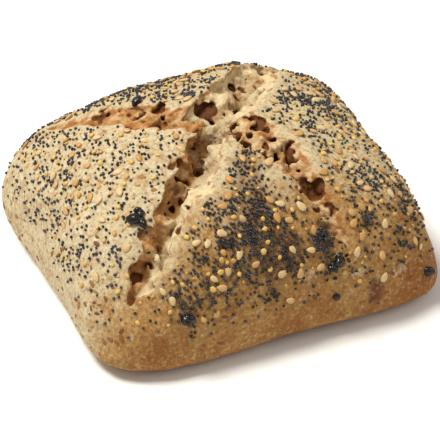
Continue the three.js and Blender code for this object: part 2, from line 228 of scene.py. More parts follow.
def beside(arm, x, y):
    """Where places in plan lie by an arm: the share of the way along it, the distance across it, positive
    on the left, and how far past its start or its end they are."""
    line = route(arm)
    lengths = np.hypot(*np.diff(line, axis=0).T)
    travelled = np.concatenate([[0], np.cumsum(lengths)])
    x, y = np.broadcast_arrays(x, y)
    nearest = np.full(x.shape, np.inf, dtype=np.float32)
    along = np.zeros_like(nearest)
    across = np.zeros_like(nearest)
    for i, length in enumerate(lengths):
        dx, dy = (line[i + 1] - line[i]) / length
        ahead = np.clip((x - line[i][0]) * dx + (y - line[i][1]) * dy, 0, length)
        ex = x - line[i][0] - ahead * dx
        ey = y - line[i][1] - ahead * dy
        distance = np.hypot(ex, ey)
        closer = distance < nearest
        nearest = np.where(closer, distance, nearest)
        along = np.where(closer, (travelled[i] + ahead) / travelled[-1], along)
        across = np.where(closer, np.where(dx * ey - dy * ex >= 0, distance, -distance), across)
    out = (line[0] - line[1]) / lengths[0]
    past_start = (x - line[0][0]) * out[0] + (y - line[0][1]) * out[1] - 1.5
    out = (line[-1] - line[-2]) / lengths[-1]
    past_end = (x - line[-1][0]) * out[0] + (y - line[-1][1]) * out[1] - 0.5
    return along, across, np.maximum(past_start, past_end)


def opening(arm, along, across, past, depth):
    """How far places lie inside an arm's gap, in mm: negative in the dough."""
    closing = np.sqrt(1 - 0.96 * along**4)
    floor = mix(*arm.depth, along) * closing
    down = np.clip(depth / floor, 0.0, 1.2)
    sides = []
    for side, widths, steep in ((1, arm.left, arm.steep[0]), (-1, arm.right, arm.steep[1])):
        width = halfway(widths, along) * closing
        slant = np.sqrt(1 + ((1 - steep) * width / floor) ** 2)
        reach = width * (1 - down ** (1 + 5 * steep)) - side * across
        sides.append(np.where(reach > 0, reach / slant, reach))
    inside = np.minimum(np.minimum(*sides), floor - depth)
    return np.minimum(inside, -past)


def lip_rise(x, y):
    """How far the petals rise towards their torn lips, in mm."""
    rise = 0.0
    for arm in ARMS:
        along, across, _ = beside(arm, x, y)
        left = across > 0
        width = np.where(left, halfway(arm.left, along), halfway(arm.right, along))
        lip = np.where(left, *arm.lips)
        fade = 1 - along**3
        rise = np.maximum(rise, lip * fade * np.exp(-(((np.abs(across) - width) / arm.lip_spread) ** 2)))
    return rise


def uneven_crust(block):
    """The distance outside the crust with its lumps, wrinkles and lips."""
    fade = 0.35 + 0.65 * smoothstep(0.0, BELLY * 1.5, block.z)
    lips = lip_rise(block.x, block.y) * smoothstep(BELLY, HEIGHT * 0.7, block.z)
    return smooth_crust(block) - fade * layered(block, LUMPS) - lips


def gaps(block, crust):
    """How far places lie inside the gaps of the cross, in mm, with ragged walls."""
    # the rim of a gap is less ragged than its walls
    ragged = layered(block, RAGGED) * (0.55 + 0.45 * smoothstep(0.0, 3.0, -crust))
    depth = np.clip(-crust, -2, None) + layered(block, SUNK) * smoothstep(0.0, 2.0, -crust)
    inside = None
    for arm in ARMS:
        along, across, past = beside(arm, block.x, block.y)
        gap = opening(arm, along, across + ragged, past, depth)
        inside = gap if inside is None else np.maximum(inside, gap)
    return np.minimum(inside, block.z - LOWEST_TEAR)


def flat_base(field, block):
    """Cuts a field off at the surface that the loaf stands on, with a softened edge."""
    soft = 0.8
    under = -block.z
    share = np.clip(0.5 + 0.5 * (field - under) / soft, 0, 1)
    return mix(np.broadcast_to(under, field.shape), field, share) + soft * share * (1 - share)


def zero_surface(block, field):
    """The largest closed surface where a field is zero, as points in mm and quads that face outwards."""
    grid = openvdb.FloatGrid()
    grid.copyFromArray(np.ascontiguousarray(field, dtype=np.float32))
    points, _, quads = grid.convertToPolygons(isovalue=0.0, adaptivity=0.0)
    quads = quads.astype(int)
    label = np.arange(len(points))
    edges = quads[:, [0, 1, 1, 2, 2, 3]].reshape(-1, 2)
    while True:
        lowest = label.copy()
        least = label[edges].min(axis=1)
        np.minimum.at(lowest, edges[:, 0], least)
        np.minimum.at(lowest, edges[:, 1], least)
        lowest = lowest[lowest]
        if (lowest == label).all():
            break
        label = lowest
    main = np.bincount(label).argmax()
    kept = label == main
    renumbered = np.cumsum(kept) - 1
    return block.low + points[kept] * block.step, renumbered[quads[kept[quads[:, 0]]]]


def ellipsoid(block, centre, radii):
    """Part of a block round an ellipsoid, and how far inside it the places there are."""
    reach = max(radii) + 2 * block.step
    spans = []
    for axis, place in zip(block.axes, centre):
        spans.append(slice(*np.searchsorted(axis, (place - reach, place + reach))))
    near = [axis[span] - place for axis, span, place in zip(block.axes, spans, centre)]
    x, y, z = np.meshgrid(*near, indexing="ij", sparse=True)
    size = min(radii)
    inside = size - size * np.sqrt((x / radii[0]) ** 2 + (y / radii[1]) ** 2 + (z / radii[2]) ** 2)
    return tuple(spans), inside


def carve(field, block, centre, radii):
    """Takes an ellipsoid out of the dough."""
    spans, inside = ellipsoid(block, centre, radii)
    np.maximum(field[spans], inside, out=field[spans])


def swell(field, block, centre, radii):
    """Adds an ellipsoid of dough."""
    spans, inside = ellipsoid(block, centre, radii)
    np.minimum(field[spans], -inside, out=field[spans])


CELL_RADII = (0.45, 1.7)  # of the smallest and the largest bubbles and lumps of the crumb, in mm
LUMP_SHARE = 0.4  # share of them that are lumps

# Burst caves in the torn dough, in mm: the middle of each and its three radii.
CAVES = (
    # where the arms meet, under the back petal
    (-0.5, 6.0, 40.0, 3.0, 2.4, 2.0),
    (5.5, 5.0, 37.5, 1.4, 1.3, 1.1),
    (0.0, 1.5, 37.5, 1.1, 2.2, 1.9),
    # along the arm to the front left
    (-10.0, -11.0, 35.5, 0.9, 2.9, 2.4),
    (-16.0, -17.0, 32.0, 1.0, 1.3, 1.1),
    (-21.0, -27.0, 32.0, 0.9, 2.0, 1.7),
    (-25.5, -29.0, 27.0, 1.5, 2.9, 2.4),
    (-30.5, -30.0, 27.0, 0.7, 1.7, 1.4),
    # along the arm to the right of the front
    (7.5, -7.0, 40.5, 2.0, 1.7, 1.4),
    (11.0, -12.0, 40.0, 1.2, 1.2, 1.0),
    (8.0, -13.5, 39.5, 1.1, 1.6, 1.3),
    (9.5, -15.0, 37.0, 0.9, 1.6, 1.3),
    (14.0, -15.0, 40.0, 1.2, 1.0, 0.9),
    (12.5, -18.0, 37.0, 1.2, 2.3, 2.0),
    (13.0, -22.5, 36.0, 0.9, 1.3, 1.1),
    (13.0, -25.5, 35.0, 1.5, 1.9, 1.6),
    (15.0, -28.0, 33.0, 1.9, 2.7, 2.0),
    (17.0, -34.0, 30.0, 0.8, 1.5, 1.2),
    # in the groove to the back left
    (-12.0, 10.5, 40.0, 1.6, 1.2, 1.0),
    (-7.5, 9.0, 39.0, 1.1, 1.6, 1.3),
    (-22.5, 21.5, 36.5, 1.6, 1.0, 0.9),
    (-28.5, 22.0, 34.5, 1.2, 1.0, 0.9),
)


def open_crumb(block, crust, field, cells):
    """Makes foam of the torn walls: lumps that stayed and bubbles that burst, the largest first."""
    rng = np.random.default_rng(11)
    for *centre, a, b, c in CAVES:
        carve(field, block, centre, (a, b, c))
    points, _ = zero_surface(block, field)
    slopes = [block.sample(part, points) for part in np.gradient(field, block.step)]
    normals = np.stack(slopes, axis=1)
    normals /= np.linalg.norm(normals, axis=1)[:, None] + 1e-6
    values = dough_values(points, -block.sample(crust, points), 0.0)
    weight = np.where(values["torn"] > 0.9, 0.07 + values["browned"], 0)
    picks = rng.choice(len(points), size=cells, p=weight / weight.sum())
    radii = np.sort(mix(*CELL_RADII, rng.random(cells) ** 2))[::-1]
    for pick, radius in zip(picks, radii):
        stretched = radius * rng.uniform(0.65, 1.4, 3)
        inwards = normals[pick] * radius
        if rng.random() < LUMP_SHARE:
            swell(field, block, points[pick] - inwards * rng.uniform(0.1, 0.6), stretched * 0.85)
        else:
            carve(field, block, points[pick] - inwards * rng.uniform(0.0, 0.7), stretched)


# Burnt patches of the crust and floury ones: middle, half the width and half the height, in mm.
BURNS = (
    ((24.6, -44.6, 10.6), 1.7, 3.2),
    ((6.6, -44.8, 13.2), 0.6, 1.2),
)
FLOURED = (
    ((20.0, -43.0, 17.5), 3.5, 1.2),
    ((31.0, -43.0, 14.5), 4.0, 1.2),
    ((7.5, -43.5, 20.0), 2.5, 3.0),
)


def patches(points, spots):
    """How much places lie in patches of the crust: 1 in the middle of each, and 0 far away."""
    x, y, z = points.T
    share = np.zeros(len(points))
    for (a, b, c), wide, high in spots:
        share += np.exp(-(((x - a) / wide) ** 2) - ((y - b) / wide) ** 2 - ((z - c) / high) ** 2)
    return share


def dough_values(points, crust_depth, gap_depth):
    """What the dough's material needs to know at each point: how torn; how browned, partly painted shade on
    walls that face away from the key light; how deep in pits and under the crust, by which painted shade
    darkens the crumb; how baked, partly painted shade on the front face; how stained between heaped seeds
    and in burnt patches, partly painted shade; and how floury. The depths given are those under the crust
    and behind the gaps' walls."""
    x, y, z = points.T
    torn = smoothstep(0.25, 0.7, crust_depth)
    best = np.full(len(points), -np.inf)
    browned = np.zeros(len(points))
    for arm in ARMS:
        along, across, past = beside(arm, x, y)
        gap = opening(arm, along, across, past, np.clip(crust_depth - 1.0, 0, None))
        # each side of an arm is as browned as the arm gives it: partly real toasting, partly painted shade
        # on walls that face away from the key light
        tint = mix(arm.browned[1], arm.browned[0], smoothstep(-0.8, 0.8, across))
        browned = np.where(gap > best, tint, browned)
        best = np.maximum(best, gap)
    # how baked: browner towards the front, the right, low down and at the front corners; on the front face
    # this is partly painted shade, as that face looks away from the key light
    corner = (np.abs(x) / HALF_WIDTH) ** 3 * np.clip(-y / HALF_DEPTH, 0, None) ** 3
    low = 1 - smoothstep(2, 26, z)
    front = smoothstep(12, 40, 0.27 * np.clip(x, None, 0) - 0.15 * np.clip(x, 0, None) - y)
    right = smoothstep(28, 52, x)
    bake_and_shade = np.clip(0.85 * front + 0.3 * right + 0.12 * low + 0.5 * corner, 0, 1.3)
    flour = 0.12 + 0.25 * smoothstep(-5, 40, -x) * smoothstep(-40, -20, y)
    flour += 0.6 * patches(points, FLOURED)
    # between the heaps of the front petal, apart from its left edge, the crust is darker, partly stained and
    # partly painted shade between the seeds; heaps elsewhere hardly darken it
    on_front = smoothstep(-15, -3, x + 0.4 * y + 12)
    stain_and_shade = np.clip(heaped(points), 0, 1) * np.where(x < 15, on_front, 0.2)
    stain_and_shade += 3 * patches(points, BURNS)
    return {
        "torn": torn,
        "edge": np.exp(-(((crust_depth - 0.8) / 0.9) ** 2)),
        "stain_and_shade": np.clip(stain_and_shade, 0, 1.5),
        "browned": browned,
        # how far into pits and how deep under the crust: the crumb is darkened by these as painted shade
        "pit": torn * np.clip(gap_depth / 3.0, 0, 1),
        "deep": np.clip(crust_depth / 8.0, 0, 1),
        "bake_and_shade": bake_and_shade,
        "flour": np.clip(flour, 0, 1),
    }


def new_piece(name, points, faces, material, values=None):
    """A mesh object at the origin, from points in mm, with values stored at its points."""
    mesh = bpy.data.meshes.new(name)
    places = np.asarray(points, dtype=np.float64) * MM
    places[:, :2] += np.array(CENTRING) * MM
    mesh.from_pydata(places.tolist(), [], np.asarray(faces).tolist())
    for key, numbers in (values or {}).items():
        attribute = mesh.attributes.new(key, "FLOAT", "POINT")
        attribute.data.foreach_set("value", np.ascontiguousarray(numbers, dtype=np.float32))
    mesh.shade_smooth()
    mesh.materials.append(material)
    piece = bpy.data.objects.new(name, mesh)
    bpy.context.collection.objects.link(piece)
    return piece


def join_frame(piece):
    """Ties a finished piece to the roll's body and hides the solid that it stands for."""
    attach(piece, "root")
    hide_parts("bread_roll")


def linear(hex_colour):
    """An sRGB hex colour as linear red, green and blue."""
    parts = [int(hex_colour[i : i + 2], 16) / 255 for i in (1, 3, 5)]
    return tuple(part / 12.92 if part <= 0.04045 else ((part + 0.055) / 1.055) ** 2.4 for part in parts)


def colour_setting(name, description, hex_colour):
    default = linear(hex_colour)
    return FloatVectorProperty(
        name=name, description=description, subtype="COLOR", size=3, min=0, max=1, default=default
    )


def size_setting(name, description, millimetres):
    default = millimetres * MM
    return FloatProperty(name=name, description=description, default=default, min=0, unit="LENGTH")


def count_setting(name, description, default):
    return IntProperty(name=name, description=description, default=default, min=0)


def add_node(tree, kind, inputs=None, **settings):
    """Adds a node. Each input is given by name or number, as a value or as another node's output."""
    made = tree.nodes.new(kind)
    for key, value in settings.items():
        setattr(made, key, value)
    for key, value in (inputs or {}).items():
        if isinstance(value, bpy.types.NodeSocket):
            tree.links.new(value, made.inputs[key])
        else:
            made.inputs[key].default_value = value
    return made


def new_material(name):
    """An empty material with its tree and its shader."""
    material = bpy.data.materials.new(name)
    material.use_nodes = True
    tree = material.node_tree
    tree.nodes.clear()
    shader = add_node(tree, "ShaderNodeBsdfPrincipled")
    add_node(tree, "ShaderNodeOutputMaterial", {"Surface": shader.outputs["BSDF"]})
    return material, tree, shader


def rgba(colour):
    return (*colour, 1.0)


def coats(tree, colour, *layers):
    """Lays colours over one another. A layer is a mask, the two values between which it starts and ends to
    rise, its colour and the share that it covers at most."""
    for mask, low, high, over, most in layers:
        span = {"Value": mask, "From Min": low, "From Max": high, "To Max": most}
        share = add_node(tree, "ShaderNodeMapRange", span, interpolation_type="SMOOTHSTEP")
        colours = {0: share.outputs["Result"], 6: colour, 7: rgba(over)}
        colour = add_node(tree, "ShaderNodeMix", colours, data_type="RGBA").outputs[2]
    return colour


def dough_material(settings):
    """Baked wholegrain wheat dough: matt, floury crust that browned at its corners, and torn open crumb,
    which is cream where it stretched and browner where it stood up in the heat. Painted shade darkens the
    crumb in its pits and deep in the gaps, and partly browns the walls that face away from the key light,
    the crust's front face and the crust between heaped seeds. The values stored at the mesh's points say
    which is where, and random mottling breaks them up."""
    material, tree, shader = new_material("baked wholegrain dough")
    node = functools.partial(add_node, tree)
    place = node("ShaderNodeTexCoord").outputs["Object"]
    value = {
        name: node("ShaderNodeAttribute", attribute_name=name).outputs["Fac"]
        for name in ("torn", "edge", "browned", "pit", "deep", "bake_and_shade", "flour", "stain_and_shade")
    }
    broad, middling, fine = (
        node(
            "ShaderNodeTexNoise",
            {"Vector": place, "Scale": 1 / (size * MM), "Detail": 3.0, "Roughness": 0.6},
        ).outputs["Fac"]
        for size in (14, 3.2, 0.9)
    )

    # the crust: pale, browned in baking in broad and middling patches, and on the front face browner still
    # as painted shade
    oven_and_shade = {0: broad, 1: 0.9, 2: value["bake_and_shade"]}
    oven_and_shade = node("ShaderNodeMath", oven_and_shade, operation="MULTIPLY_ADD").outputs[0]
    oven_and_shade = {0: middling, 1: 0.8, 2: oven_and_shade}
    oven_and_shade = node("ShaderNodeMath", oven_and_shade, operation="MULTIPLY_ADD").outputs[0]
    # darker crust between heaped seeds, partly stained and partly painted shade, where they lie thickest
    # brown with bran
    speckled_stain_and_shade = {0: fine, 1: 1.2, 2: value["stain_and_shade"]}
    speckled_stain_and_shade = node("ShaderNodeMath", speckled_stain_and_shade, operation="MULTIPLY_ADD").outputs[0]
    # flour left on it, in a thin broken film
    film = node("ShaderNodeMath", {0: fine, 1: middling}, operation="SUBTRACT").outputs[0]
    film = node("ShaderNodeMath", {0: film, 1: value["flour"]}, operation="ADD").outputs[0]
    crust = coats(
        tree,
        rgba(settings.crust_pale),
        (oven_and_shade, 0.85, 1.65, settings.crust_brown, 1.0),
        (oven_and_shade, 1.6, 2.15, settings.crust_toasted, 1.0),
        (middling, 0.5, 0.75, settings.crust_toasted, 0.45),
        (speckled_stain_and_shade, 0.75, 1.45, settings.stain_and_shade, 0.62),
        (value["stain_and_shade"], 1.0, 1.5, settings.bran, 0.95),
        # fine pale and toasted specks
        (fine, 0.5, 0.8, settings.crust_pale, 0.5),
        (fine, 0.46, 0.3, settings.crust_toasted, 0.6),
        (film, 0.25, 0.9, settings.flour, 0.6),
    )

    # the crumb: cream where it stretched, brown where it stood up and partly as painted shade on walls that
    # face away from the key light, and darkened by painted shade in its pits and deep in the gaps
    scorch = {0: middling, 1: 1.6, 2: value["browned"]}
    scorch = node("ShaderNodeMath", scorch, operation="MULTIPLY_ADD").outputs[0]
    crumb = coats(
        tree,
        rgba(settings.crumb_pale),
        (scorch, 1.0, 1.8, settings.crumb_brown, 1.0),
        (scorch, 1.7, 2.3, settings.crumb_toast_and_shade, 1.0),
        # painted shade in the pits and deep in the gaps
        (value["pit"], 0.18, 0.5, settings.crumb_toast_and_shade, 0.8),
        (value["pit"], 0.4, 0.85, settings.crumb_painted_shade, 0.85),
        (value["deep"], 0.0, 1.1, settings.crumb_painted_shade, 0.45),
    )
    colour = {0: value["torn"], 6: crust, 7: crumb}
    colour = node("ShaderNodeMix", colour, data_type="RGBA").outputs[2]

    # the edge of the torn crust is toasted here and there, and bran shows as flat specks
    toast = node("ShaderNodeMath", {0: value["edge"], 1: middling}, operation="MULTIPLY").outputs[0]
    cells = node("ShaderNodeTexVoronoi", {"Vector": place, "Scale": 1 / (1.9 * MM)})
    chosen = node("ShaderNodeSeparateColor", {"Color": cells.outputs["Color"]}).outputs[0]
    speck = {0: cells.outputs["Distance"], 1: -1.8, 2: chosen}
    speck = node("ShaderNodeMath", speck, operation="MULTIPLY_ADD").outputs[0]
    colour = coats(
        tree,
        colour,
        (toast, 0.36, 0.56, settings.crumb_toast_and_shade, 0.7),
        (speck, 0.52, 0.6, settings.bran, 0.6),
    )

    # fine light and dark mottling
    mottled = {0: 0.5, 6: colour, 7: fine}
    mottled = node("ShaderNodeMix", mottled, data_type="RGBA", blend_type="OVERLAY").outputs[2]
    tree.links.new(mottled, shader.inputs["Base Color"])

    # wrinkled skin on the crust, open pores in the crumb
    skin = node("ShaderNodeMix", {0: 0.5, 2: middling, 3: fine}, data_type="FLOAT").outputs[0]
    pores = {"Vector": place, "Scale": 1 / (1.1 * MM)}
    pores = node("ShaderNodeTexVoronoi", pores, feature="SMOOTH_F1")
    sponge = {0: pores.outputs["Distance"], 1: 0.9, 2: fine}
    sponge = node("ShaderNodeMath", sponge, operation="MULTIPLY_ADD").outputs[0]
    height = node("ShaderNodeMix", {0: value["torn"], 2: skin, 3: sponge}, data_type="FLOAT").outputs[0]
    bump = node("ShaderNodeBump", {"Height": height, "Strength": 0.7, "Distance": 0.7 * MM})
    tree.links.new(bump.outputs["Normal"], shader.inputs["Normal"])

    shader.inputs["Roughness"].default_value = 0.78
    shader.inputs["IOR"].default_value = 1.45
    shader.inputs["Specular IOR Level"].default_value = 0.3
    shader.inputs["Subsurface Weight"].default_value = 0.06
    shader.inputs["Subsurface Radius"].default_value = (1.0, 0.55, 0.25)
    shader.inputs["Subsurface Scale"].default_value = 0.9 * MM
    return material


def seed_material(name, settings, roughness):
    """A seed's hull: each seed has its own tone between two colours, fine mottling and faint dimples, so
    that no two look alike. A seed whose settings have a rim colour also has a browned rim round its edge,
    which is partly real browning and partly painted shade where the seed meets the crust."""
    material, tree, shader = new_material(name)
    node = functools.partial(add_node, tree)
    place = node("ShaderNodeTexCoord").outputs["Object"]
    tone = node("ShaderNodeAttribute", attribute_name="tone").outputs["Fac"]
    mottling, dimples = (
        node(
            "ShaderNodeTexNoise",
            {"Vector": place, "Scale": 1 / (size * MM), "Detail": 2.0},
        ).outputs["Fac"]
        for size in (0.5, 0.25)
    )
    colour = coats(
        tree,
        rgba(settings.colour),
        (tone, 0.0, 1.0, settings.second_colour, 1.0),
        (mottling, 0.35, 0.7, settings.second_colour, 0.3),
    )
    if hasattr(settings, "rim_brown_and_shade"):
        # the rim round the seed's edge is darkened, partly as painted shade where it meets the crust
        rim = node("ShaderNodeAttribute", attribute_name="rim").outputs["Fac"]
        colour = coats(tree, colour, (rim, 0.6, 0.92, settings.rim_brown_and_shade, 0.75))
    tree.links.new(colour, shader.inputs["Base Color"])
    bump = node("ShaderNodeBump", {"Height": dimples, "Strength": 0.35, "Distance": 0.15 * MM})
    tree.links.new(bump.outputs["Normal"], shader.inputs["Normal"])
    shader.inputs["Roughness"].default_value = roughness
    shader.inputs["IOR"].default_value = 1.47
    return material


def strewing_tree():
    """Sets one drop-shaped seed on every point. Its sizes are named inputs; the point's facing, size and
    tone are attributes. The drop's tip is at +X and it lies flat across Z."""
    tree = bpy.data.node_groups.new("Strewn seeds", "GeometryNodeTree")
    node = functools.partial(add_node, tree)
    inputs = {
        "NodeSocketGeometry": ("Points",),
        "NodeSocketFloat": ("Length", "Width", "Thickness", "Taper", "Dents"),
        "NodeSocketInt": ("Segments", "Rings", "Seed"),
        "NodeSocketMaterial": ("Material",),
    }
    for kind, names in inputs.items():
        for name in names:
            tree.interface.new_socket(name, in_out="INPUT", socket_type=kind)
    tree.interface.new_socket("Seeds", in_out="OUTPUT", socket_type="NodeSocketGeometry")
    given = node("NodeGroupInput").outputs
    ball = {"Segments": given["Segments"], "Rings": given["Rings"], "Radius": 0.5}
    ball = node("GeometryNodeMeshUVSphere", ball).outputs["Mesh"]
    at = node("GeometryNodeInputPosition").outputs[0]
    part = node("ShaderNodeSeparateXYZ", {0: at}).outputs

    # how near each of its points is to the flat rim
    level = node("ShaderNodeMath", {0: part["Z"]}, operation="ABSOLUTE").outputs[0]
    rim = node("ShaderNodeMath", {0: level, 1: -2.0, 2: 1.0}, operation="MULTIPLY_ADD").outputs[0]
    marked = {"Geometry": ball, "Name": "rim", "Value": rim}
    marked = node("GeometryNodeStoreNamedAttribute", marked, data_type="FLOAT", domain="POINT")

    # narrowed towards the tip, dented, and stretched to its sizes
    lean = node("ShaderNodeMath", {0: part["X"], 1: given["Taper"]}, operation="MULTIPLY").outputs[0]
    narrow = node("ShaderNodeMath", {0: lean, 1: -2.0, 2: 1.0}, operation="MULTIPLY_ADD").outputs[0]
    y = node("ShaderNodeMath", {0: part["Y"], 1: narrow}, operation="MULTIPLY").outputs[0]
    drop = node("ShaderNodeCombineXYZ", {"X": part["X"], "Y": y, "Z": part["Z"]}).outputs[0]
    noise = {"W": given["Seed"], "Vector": at, "Scale": 2.2}
    noise = node("ShaderNodeTexNoise", noise, noise_dimensions="4D").outputs["Fac"]
    dent = node("ShaderNodeMath", {0: noise, 1: -0.5}, operation="ADD").outputs[0]
    dent = {0: dent, 1: given["Dents"], 2: 1.0}
    dent = node("ShaderNodeMath", dent, operation="MULTIPLY_ADD").outputs[0]
    dented = node("ShaderNodeVectorMath", {0: drop, "Scale": dent}, operation="SCALE").outputs[0]
    sizes = {"X": given["Length"], "Y": given["Width"], "Z": given["Thickness"]}
    sizes = node("ShaderNodeCombineXYZ", sizes).outputs[0]
    shaped = node("ShaderNodeVectorMath", {0: dented, 1: sizes}, operation="MULTIPLY").outputs[0]
    seed = node("GeometryNodeSetPosition", {"Geometry": marked.outputs["Geometry"], "Position": shaped})

    facing = node("GeometryNodeInputNamedAttribute", {"Name": "facing"}, data_type="QUATERNION")
    size = node("GeometryNodeInputNamedAttribute", {"Name": "size"}, data_type="FLOAT")
    laid = {
        "Points": given["Points"],
        "Instance": seed.outputs["Geometry"],
        "Rotation": facing.outputs["Attribute"],
        "Scale": size.outputs["Attribute"],
    }
    laid = node("GeometryNodeInstanceOnPoints", laid).outputs["Instances"]
    real = node("GeometryNodeRealizeInstances", {"Geometry": laid}).outputs["Geometry"]
    dressed = node("GeometryNodeSetMaterial", {"Geometry": real, "Material": given["Material"]})
    node("NodeGroupOutput", {"Seeds": dressed.outputs["Geometry"]})
    return tree


def plain_mesh(name, source, modifier):
    """Turns what a modifier makes of an object into a plain mesh object, and takes the source away."""
    bpy.context.view_layer.update()
    graph = bpy.context.evaluated_depsgraph_get()
    mesh = bpy.data.meshes.new_from_object(source.evaluated_get(graph), depsgraph=graph)
    source.modifiers.remove(modifier)
    old = source.data
    bpy.data.objects.remove(source)
    bpy.data.meshes.remove(old)
    mesh.name = name
    mesh.shade_smooth()
    piece = bpy.data.objects.new(name, mesh)
    bpy.context.collection.objects.link(piece)
    return piece


class Crust:
    """The skin that seeds are strewn on: points, quads, outward directions and the seeds laid so far."""

    def __init__(self):
        block = Block(*CRUST_BLOCK, SKIN_STEP)
        crust = uneven_crust(block)
        self.points, self.quads = zero_surface(block, flat_base(crust, block))
        smooth = smooth_crust(block) - layered(block, LUMPS[:1])
        slopes = [block.sample(part, self.points) for part in np.gradient(smooth, block.step)]
        self.normals = np.stack(slopes, axis=1)
        self.normals /= np.linalg.norm(self.normals, axis=1)[:, None]
        self.clear = -block.sample(gaps(block, crust), self.points)
        corners = self.points[self.quads]
        crossed = np.cross(corners[:, 2] - corners[:, 0], corners[:, 3] - corners[:, 1])
        self.areas = np.linalg.norm(crossed, axis=1) / 2
        self.taken = {}

    def cell(self, place):
        """The coarse cell that a place lies in, by which the seeds laid near it are found."""
        return tuple(int(part // NEIGHBOURS) for part in place)

    def is_free(self, place, radius, overlap):
        cell = self.cell(place)
        for step in np.ndindex(3, 3, 3):
            for other, size in self.taken.get(tuple(c + s - 1 for c, s in zip(cell, step)), ()):
                if math.dist(place, other) < (radius + size) * (1 - overlap):
                    return False
        return True

    def take(self, place, radius):
        self.taken.setdefault(self.cell(place), []).append((place, radius))

    def strew(self, thickly, count, *, radius, overlap, seed):
        """Chooses places for seeds of one kind. thickly gives a density, from 0 to 1, at given points."""
        rng = np.random.default_rng(seed)
        middles = self.points[self.quads].mean(axis=1)
        weight = self.areas * np.clip(thickly(middles), 0, 1)
        weight *= self.clear[self.quads[:, 0]] > CLEAR_RIM
        picks = rng.choice(len(weight), size=count * TRIES, p=weight / weight.sum())
        found = []
        for pick in picks:
            if len(found) == count:
                break
            a, b = rng.random(2)
            corners = self.points[self.quads[pick]]
            lower = corners[0] * (1 - a) + corners[1] * a
            upper = corners[3] * (1 - a) + corners[2] * a
            place = tuple(float(part) for part in lower * (1 - b) + upper * b)
            if self.is_free(place, radius, overlap):
                self.take(place, radius)
                found.append((place, self.normals[self.quads[pick][0]]))
        return found

    def above(self, spots):
        """The places on the upper skin nearest to spots that are given in plan or with a height too."""
        top = self.points[:, 2] > BELLY
        points, normals = self.points[top], self.normals[top]
        found = []
        for spot in spots:
            nearest = np.argmin(np.linalg.norm(points[:, : len(spot)] - spot, axis=1))
            found.append((tuple(points[nearest].tolist()), normals[nearest]))
        return found


def petal_share(points, front, right, left, back):
    """A density for each petal, by the arms that part them."""
    x, y, _ = points.T
    sides = [beside(arm, x, y)[1] > 0 for arm in ARMS]
    to_front = sides[0] & ~sides[3]
    to_right = sides[3] & ~sides[1]
    to_left = ~sides[0] & sides[2]
    to_back = sides[1] & ~sides[2]
    angle = np.arctan2(y - MIDDLE[1], x - MIDDLE[0])
    petals = [to_front & (angle < 0.2), to_right, to_left, to_back]
    return np.select(petals, [front, right, left, back], 0.0)


def clumps(points, size, seed):
    """Random clumping between 0 and 1, for seeds that fell in heaps."""
    block = Block(points.min(axis=0) - 3, points.max(axis=0) + 3, size / 3)
    return smoothstep(-0.15, 0.55, block.sample(relief(block, size, seed), points))


# Where the strewn mix lies thickest, in plan: x, y, spread in mm and how thick it is.
HEAPS = (
    # on the front petal
    (0.0, -19.5, 3.2, 1.0),
    (-0.5, -23.5, 3.0, 0.8),
    (-2.0, -26.5, 3.2, 0.7),
    (-4.5, -28.0, 3.0, 0.7),
    (-10.5, -28.5, 3.0, 0.7),
    (-14.5, -28.5, 3.0, 1.0),
    (-5.0, -32.5, 3.0, 0.8),
    (0.0, -32.0, 3.0, 0.9),
    (3.0, -36.0, 3.0, 0.9),
    (-3.0, -35.0, 3.0, 0.8),
    (-8.0, -33.5, 3.0, 0.7),
    (-12.5, -34.0, 3.2, 0.9),
    (-19.0, -37.5, 3.0, 0.7),
    (-12.0, -39.0, 3.2, 0.7),
    (-2.0, -40.5, 3.2, 1.0),
    (-7.0, -39.0, 3.0, 0.9),
    (4.5, -39.5, 2.8, 0.8),
    (-16.5, -40.5, 3.0, 0.8),
    (-23.5, -41.5, 3.2, 0.9),
    (10.5, -38.0, 2.5, 0.6),
    (13.0, -39.5, 2.5, 0.6),
    # on the right petal
    (22.0, 6.0, 5.0, 0.35),
    (29.0, 1.0, 5.0, 0.3),
    (23.5, -11.5, 3.5, 0.35),
    (31.0, -27.0, 4.0, 0.4),
    (24.5, -34.0, 3.0, 0.55),
    (26.5, -38.0, 2.5, 0.45),
    (34.0, -39.0, 3.0, 0.35),
    (40.0, -29.5, 3.5, 0.3),
    # on the left and the back petal
    (-24.5, -3.5, 4.0, 0.2),
    (-8.0, 26.0, 8.0, 0.35),
)


def heaped(points):
    """How much of the strewn mix lies in heaps, from 0 to about 1."""
    x, y = points[:, 0], points[:, 1]
    total = 0.0
    for a, b, spread, thick in HEAPS:
        total = total + thick * np.exp(-(((x - a) / spread) ** 2) - ((y - b) / spread) ** 2)
    return total


def strewn_mix(points):
    """How thickly the poppy seeds lie: thin all over the upper crust, with heaps, and nothing low down."""
    high = smoothstep(10, 27, points[:, 2])
    clumped = clumps(points, 2.8, 62)
    thin = petal_share(points, 0.07, 0.1, 0.09, 0.17) * (0.45 + 0.55 * clumped)
    return high * (thin + 1.2 * heaped(points) ** 1.2 * (0.2 + 0.95 * clumped))


def quaternion(normal, rng, lean, flat):
    """A random turn about the crust's outward direction, or any direction at all for a round seed."""
    spin = Matrix.Rotation(rng.uniform(0, 2 * math.pi), 4, "Z")
    tilt = Matrix.Rotation(rng.normal(0, lean), 4, "X") @ Matrix.Rotation(rng.normal(0, lean), 4, "Y")
    if not flat:
        tilt = Matrix.Rotation(rng.uniform(0, math.pi), 4, "X")
    upright = Vector(normal).to_track_quat("Z", "Y").to_matrix().to_4x4()
    return (upright @ tilt @ spin).to_quaternion()


class Look(NamedTuple):
    """How the seeds of one kind lie and how they are shaped."""

    seed: int  # for their random sizes and turns
    spread: float  # of their sizes round 1
    sunk: float  # share of the thickness that is in the crust
    lift: float  # up to how many mm higher some lie
    lean: float  # how far they lean out of the crust's plane, in radians
    taper: float  # how much narrower the tip is
    dents: float  # how uneven the seed is
    segments: int  # faces round the seed
    rings: int  # faces from tip to tip
    slot: str
    tone_power: float = 1.2  # above 1, more seeds have the first colour
    flat: bool = True  # False for round seeds that lie any way up


